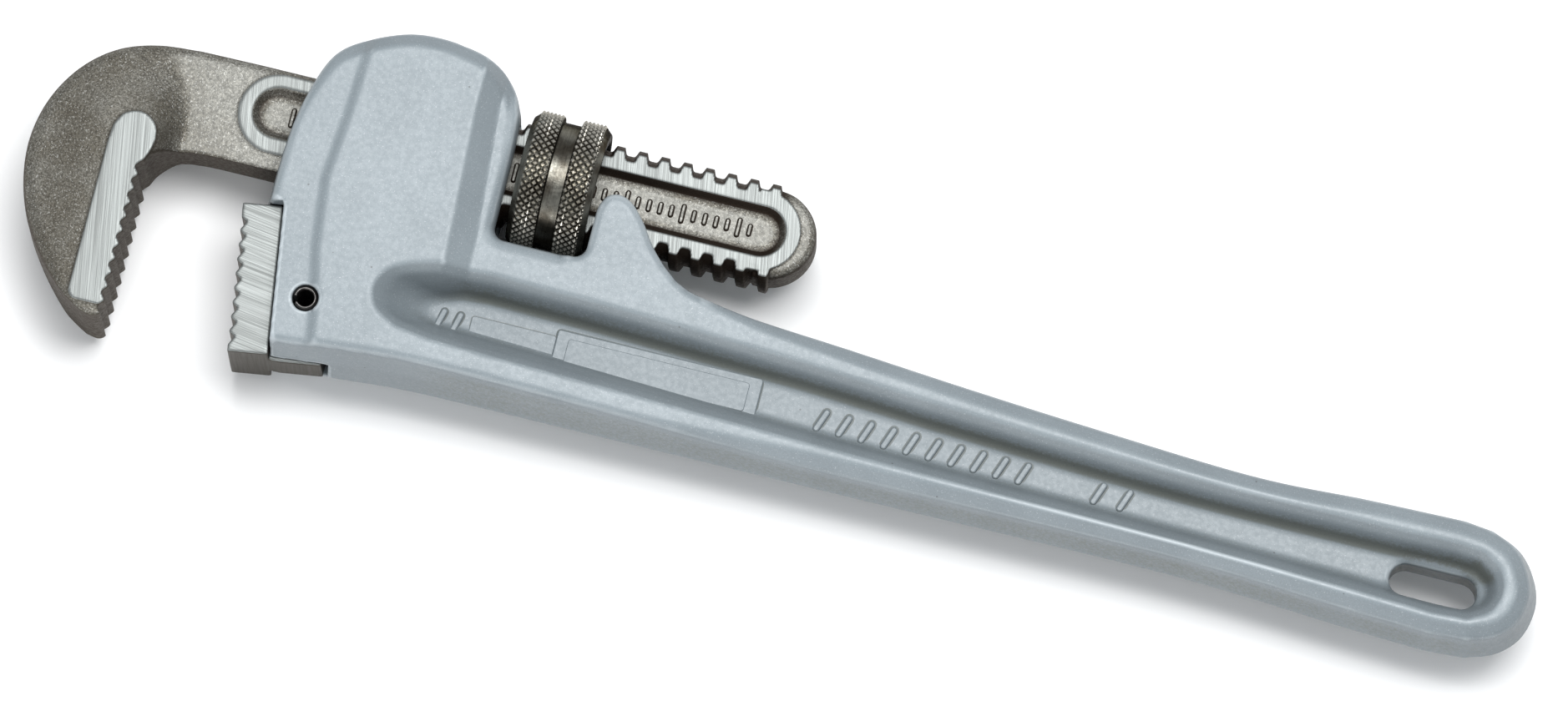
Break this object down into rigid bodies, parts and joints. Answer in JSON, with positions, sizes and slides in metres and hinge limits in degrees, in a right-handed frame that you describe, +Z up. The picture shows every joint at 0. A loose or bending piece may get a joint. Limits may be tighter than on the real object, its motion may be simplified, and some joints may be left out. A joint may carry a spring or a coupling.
{
  "type": "pipe wrench",
  "caption": "Adjustable pipe wrench with a light-alloy handle, a threaded hook jaw, a knurled nut and a toothed heel jaw.",
  "frame": {"origin": "centre of the footprint, on the surface that the wrench lies on: the lower side face of the housing is in the plane z = 0", "axes": "+X along the hook jaw's shank towards the end of the handle, +Y from the heel jaw's side to the shank's side, +Z up through the thickness"},
  "size_m": [0.347, 0.0826, 0.033],
  "materials": {
    "painted_alloy": "light blue-grey metallic stove paint over a sand-cast surface",
    "ground_steel": "ground bare, with grain lines",
    "spring_steel": "dark tempered",
    "dark_forging": "brown-grey phosphated drop forging, blasted, with ground faces",
    "dark_knurled_steel": "dark phosphated, diamond knurl with bright crests"
  },
  "bodies": {
    "housing": {"handle_housing": "painted_alloy", "heel_jaw": "ground_steel", "heel_jaw_pin": "spring_steel", "coil_spring": "spring_steel"},
    "rocker": {"flat_spring": "spring_steel", "spring_rivet": "spring_steel"},
    "nut": {"adjusting_nut": "dark_knurled_steel"},
    "hook": {"hook_jaw": "dark_forging"}
  },
  "joints": [
    {"name": "jaw_rock", "type": "hinge", "parent": "housing", "child": "rocker", "pos_m": [-0.0578, 0.0011, 0.0165], "axis": [0, 0, 1], "range_deg": [0, 3], "stiffness_Nm_per_rad": 3, "springref_deg": -5.73, "deforming": ["coil_spring"]},
    {"name": "nut_spin", "type": "hinge", "parent": "rocker", "child": "nut", "pos_m": [-0.0578, 0.0151, 0.0165], "axis": [1, 0, 0], "range_deg": [-1524, 2410]},
    {"name": "jaw_slide", "type": "slide", "parent": "rocker", "child": "hook", "axis": [1, 0, 0], "range_m": [-0.034, 0.0215]}
  ],
  "couplings": [
    {"joint": "nut_spin", "follows": "jaw_slide", "rad_per_m": -1236.8}
  ]
}
